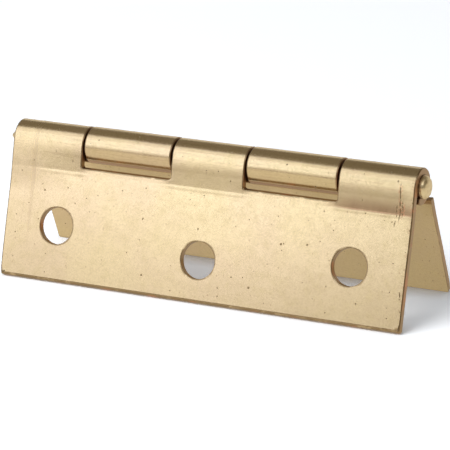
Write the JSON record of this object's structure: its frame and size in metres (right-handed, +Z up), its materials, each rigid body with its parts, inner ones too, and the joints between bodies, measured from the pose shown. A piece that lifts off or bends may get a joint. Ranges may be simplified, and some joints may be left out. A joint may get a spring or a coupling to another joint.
{
  "type": "butt hinge",
  "caption": "Pressed sheet-brass butt hinge with curled knuckles, staggered plain screw holes and a pin that shows at both ends, standing like a tent.",
  "frame": {"origin": "on the ground, straight under the middle of the pin axis, with the hinge standing on the free edges of both leaves", "axes": "+X along the pin towards its domed end, -Y towards the side that the three-knuckle leaf leans to, +Z up"},
  "size_m": [0.0782, 0.021, 0.0251],
  "materials": {
    "leaf_brass": "lacquered pressed sheet, lightly brushed and pitted",
    "pin_brass": "drawn wire, dull polish"
  },
  "bodies": {
    "fixed_leaf": {"three_knuckle_leaf": "leaf_brass", "hinge_pin": "pin_brass"},
    "swinging_leaf": {"two_knuckle_leaf": "leaf_brass"}
  },
  "joints": [
    {"name": "leaf_hinge", "type": "hinge", "parent": "fixed_leaf", "child": "swinging_leaf", "pos_m": [0, 0, 0.02195], "axis": [1, 0, 0], "range_deg": [-46, 245]}
  ]
}
